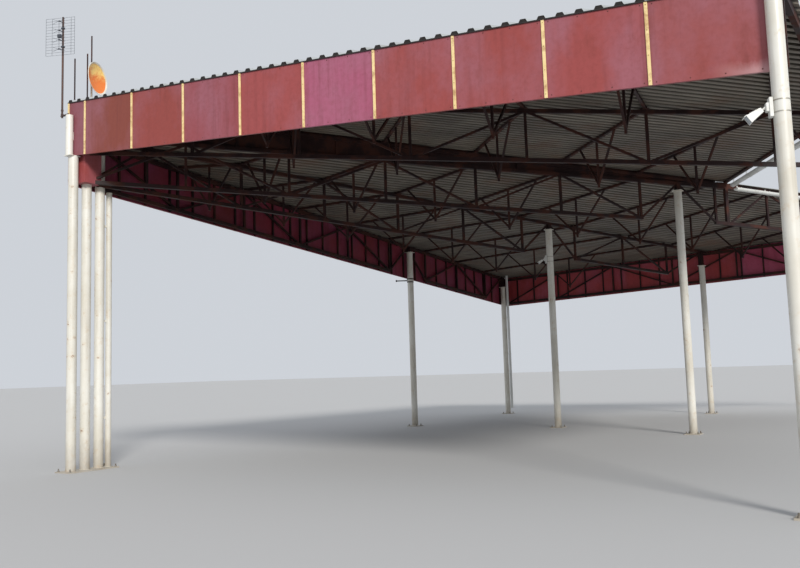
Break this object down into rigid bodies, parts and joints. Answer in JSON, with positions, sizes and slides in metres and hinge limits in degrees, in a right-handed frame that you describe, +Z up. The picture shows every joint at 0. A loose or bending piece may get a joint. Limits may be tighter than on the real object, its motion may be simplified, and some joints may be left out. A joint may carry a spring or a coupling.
{
  "type": "filling station canopy",
  "caption": "Open steel canopy on round columns: lattice trusses fan out from one corner under two ribbed roof wings with red fascias.",
  "frame": {"origin": "on the ground under the outer corner of the near and left fascias, on the underside of the base plate that the hub posts share", "axes": "X along the near edge to the right, Y towards the back edge, Z up"},
  "size_m": [14.68, 18.8654, 8.47],
  "materials": {
    "white_paint": "worn white paint",
    "brown_paint": "dark brown primer, rusty",
    "red_paint": "faded red paint, satin",
    "yellow_paint": "pale yellow paint",
    "galvanised_sheet": "weathered galvanised sheet",
    "gutter_white": "white coated sheet",
    "dish_orange": "orange coat"
  },
  "bodies": {
    "root": {"column_near": "white_paint", "column_right": "white_paint", "column_middle": "white_paint", "column_left": "white_paint", "column_back_left": "white_paint", "column_back_middle": "white_paint", "column_back_right": "white_paint", "hub_post_front": "white_paint", "hub_post_inner": "white_paint", "hub_post_left": "white_paint", "hub_base": "white_paint", "hub_head": "red_paint", "truss_near": "brown_paint", "truss_first": "brown_paint", "truss_second": "brown_paint", "truss_third": "brown_paint", "truss_left": "brown_paint", "truss_back": "brown_paint", "truss_inner_eave": "brown_paint", "eave_beam_right": "brown_paint", "purlins_first_bay": "brown_paint", "purlins_second_bay": "brown_paint", "purlins_third_bay": "brown_paint", "purlins_fourth_bay": "brown_paint", "deck_right": "galvanised_sheet", "deck_left": "galvanised_sheet", "lap_upstand": "galvanised_sheet", "near_fascia": "red_paint", "near_battens": "yellow_paint", "near_posts": "brown_paint", "left_fascia": "red_paint", "left_battens": "yellow_paint", "left_posts": "brown_paint", "back_fascia": "red_paint", "back_battens": "yellow_paint", "back_posts": "brown_paint", "gutter_right": "gutter_white", "gutter_inner": "gutter_white", "downpipe": "gutter_white", "lamp_near": "white_paint", "lamp_middle": "white_paint", "arm_left": "brown_paint", "antenna_mast": "brown_paint", "dish": "dish_orange", "roof_poles": "brown_paint"}
  },
  "joints": []
}
